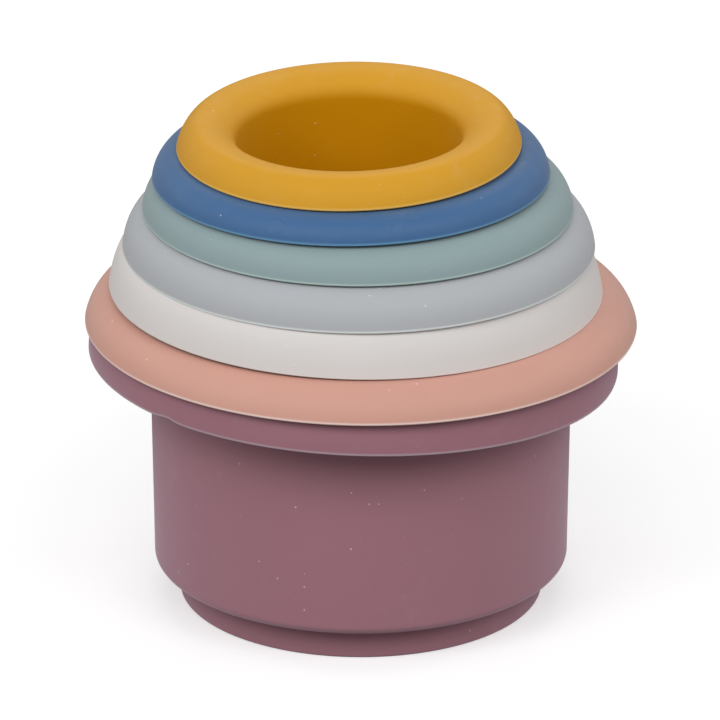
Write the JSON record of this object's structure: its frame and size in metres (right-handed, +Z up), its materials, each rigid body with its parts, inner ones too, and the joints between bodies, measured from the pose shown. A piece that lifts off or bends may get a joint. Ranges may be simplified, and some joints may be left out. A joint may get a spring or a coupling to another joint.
{
  "type": "stacking cup tower",
  "caption": "Nesting silicone cups in falling sizes, standing one inside the next with their rolled lips stacked as a stepped dome; each lifts out and has a narrower foot.",
  "frame": {"origin": "centre of the underside of the largest cup's foot, where the tower stands", "axes": "+Z up out of the cups' mouths, along the largest cup's axis; the tower is round, and +X is the side away from which the small cups have slipped in their play"},
  "size_m": [0.0949, 0.095, 0.0866],
  "materials": {
    "mauve_silicone": "matt silicone, mauve",
    "peach_silicone": "matt silicone, peach",
    "cream_silicone": "matt silicone, cream",
    "grey_silicone": "matt silicone, grey",
    "sage_silicone": "matt silicone, sage",
    "blue_silicone": "matt silicone, blue",
    "yellow_silicone": "matt silicone, yellow"
  },
  "bodies": {
    "mauve_cup": {"mauve_cup": "mauve_silicone"},
    "peach_cup": {"peach_cup": "peach_silicone"},
    "cream_cup": {"cream_cup": "cream_silicone"},
    "grey_cup": {"grey_cup": "grey_silicone"},
    "sage_cup": {"sage_cup": "sage_silicone"},
    "blue_cup": {"blue_cup": "blue_silicone"},
    "yellow_cup": {"yellow_cup": "yellow_silicone"}
  },
  "joints": [
    {"name": "peach_lift", "type": "slide", "parent": "mauve_cup", "child": "peach_cup", "axis": [0, 0, 1], "range_m": [0, 0.05]},
    {"name": "cream_lift", "type": "slide", "parent": "peach_cup", "child": "cream_cup", "axis": [0, 0, 1], "range_m": [0, 0.04]},
    {"name": "grey_lift", "type": "slide", "parent": "cream_cup", "child": "grey_cup", "axis": [0, 0, 1], "range_m": [0, 0.041]},
    {"name": "sage_lift", "type": "slide", "parent": "grey_cup", "child": "sage_cup", "axis": [0, 0, 1], "range_m": [0, 0.038]},
    {"name": "blue_lift", "type": "slide", "parent": "sage_cup", "child": "blue_cup", "axis": [0, 0, 1], "range_m": [0, 0.036]},
    {"name": "yellow_lift", "type": "slide", "parent": "blue_cup", "child": "yellow_cup", "axis": [0, 0, 1], "range_m": [0, 0.033]}
  ]
}
